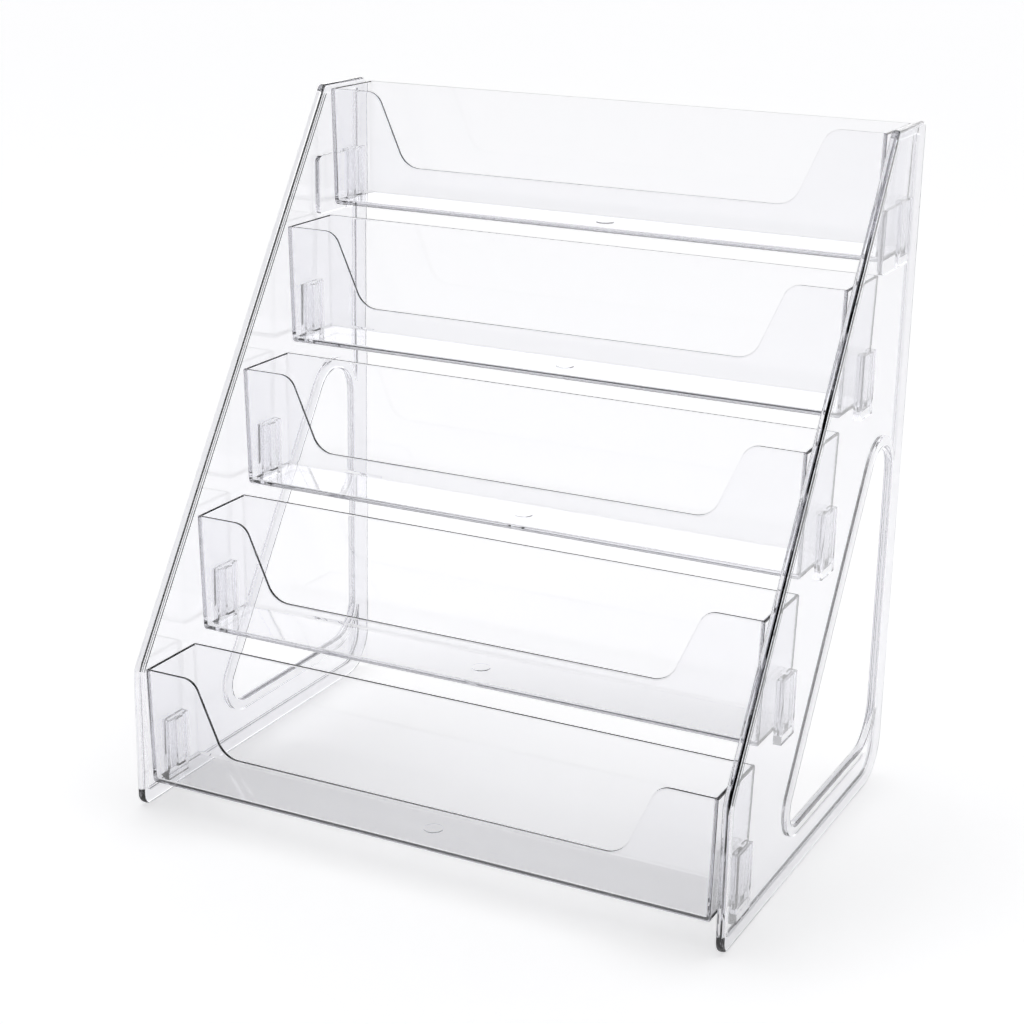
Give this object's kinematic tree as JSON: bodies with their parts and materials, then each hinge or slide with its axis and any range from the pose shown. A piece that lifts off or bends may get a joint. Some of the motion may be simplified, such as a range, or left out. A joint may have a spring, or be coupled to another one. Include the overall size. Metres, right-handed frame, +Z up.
{
  "type": "tiered brochure rack",
  "caption": "Free-standing stepped leaflet rack: clear trays with low fronts hang between two leaning side panels, each with a triangular window.",
  "frame": {"origin": "middle of the footprint, on the surface the side panels stand on", "axes": "+X to the right seen from the front, +Y to the rear, +Z up; the trays' low lips face -Y"},
  "size_m": [0.305, 0.215, 0.33],
  "materials": {
    "panel_plastic": "clear injection-moulded polystyrene, polished",
    "tray_plastic": "clear injection-moulded polystyrene, polished"
  },
  "bodies": {
    "side_panels": {"left_side_panel": "panel_plastic", "right_side_panel": "panel_plastic"},
    "top_tray": {"top_tray": "tray_plastic"},
    "upper_tray": {"upper_tray": "tray_plastic"},
    "middle_tray": {"middle_tray": "tray_plastic"},
    "lower_tray": {"lower_tray": "tray_plastic"},
    "bottom_tray": {"bottom_tray": "tray_plastic"}
  },
  "joints": [
    {"name": "top_tray_lift", "type": "slide", "parent": "side_panels", "child": "top_tray", "axis": [0, 0, 1], "range_m": [0, 0.031]},
    {"name": "upper_tray_lift", "type": "slide", "parent": "side_panels", "child": "upper_tray", "axis": [0, 0, 1], "range_m": [0, 0.031]},
    {"name": "middle_tray_lift", "type": "slide", "parent": "side_panels", "child": "middle_tray", "axis": [0, 0, 1], "range_m": [0, 0.031]},
    {"name": "lower_tray_lift", "type": "slide", "parent": "side_panels", "child": "lower_tray", "axis": [0, 0, 1], "range_m": [0, 0.031]},
    {"name": "bottom_tray_lift", "type": "slide", "parent": "side_panels", "child": "bottom_tray", "axis": [0, 0, 1], "range_m": [0, 0.031]}
  ]
}
